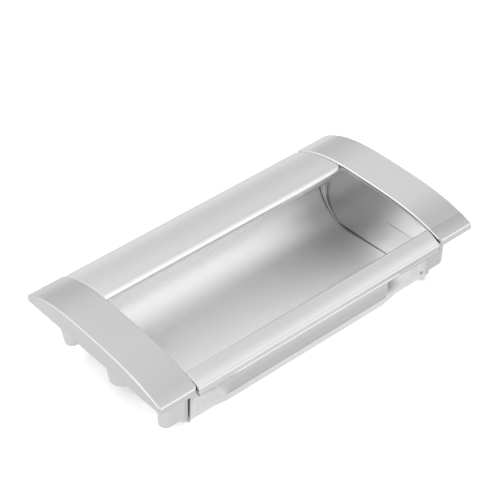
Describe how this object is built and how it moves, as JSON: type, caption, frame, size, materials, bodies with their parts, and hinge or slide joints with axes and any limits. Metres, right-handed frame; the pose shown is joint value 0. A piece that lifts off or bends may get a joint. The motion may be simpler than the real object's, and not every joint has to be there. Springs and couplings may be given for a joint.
{
  "type": "recessed pull handle",
  "caption": "Recessed pull handle: a drawn trough with an overhanging finger lip between two cast end caps with crowned plates, corner legs and tapped posts.",
  "frame": {"origin": "centre of the handle in plan, on the face of the panel it is let into, which is the plane of the trough's two lips", "axes": "+X along the handle from the left cap to the right cap, +Y toward the side with the overhanging finger lip, +Z out of the panel toward the hand"},
  "size_m": [0.078, 0.045, 0.018],
  "materials": {
    "satin_aluminium": "satin, clear anodised, fine draw lines along its length",
    "plated_casting": "satin bright plate over a zinc casting"
  },
  "bodies": {
    "root": {"drawn_trough": "satin_aluminium", "left_cap": "plated_casting", "right_cap": "plated_casting"}
  },
  "joints": []
}
